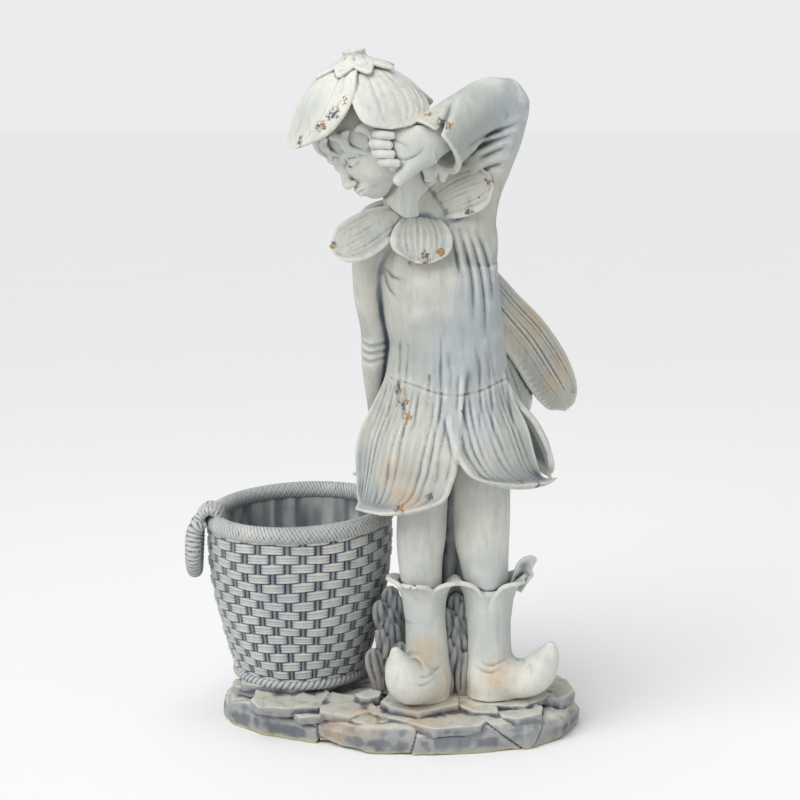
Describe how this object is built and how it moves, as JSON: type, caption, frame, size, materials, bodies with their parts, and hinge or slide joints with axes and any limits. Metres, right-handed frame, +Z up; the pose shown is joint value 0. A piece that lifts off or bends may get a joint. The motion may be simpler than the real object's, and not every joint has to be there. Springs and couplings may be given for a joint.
{
  "type": "garden statue",
  "caption": "Cast garden statue of a fairy child in petal clothes beside a hollow woven basket planter, on a flagstone base.",
  "frame": {"origin": "middle of the base's flat underside", "axes": "+Z up, the figure's front faces -Y, +X to the right as seen from the front; the basket is on the -X side"},
  "size_m": [0.4743, 0.31, 0.8028],
  "materials": {
    "cast_stone": "painted cast resin, cream-white with a grey wash in the hollows, worn and chipped"
  },
  "bodies": {
    "root": {"fairy_statue": "cast_stone"}
  },
  "joints": []
}
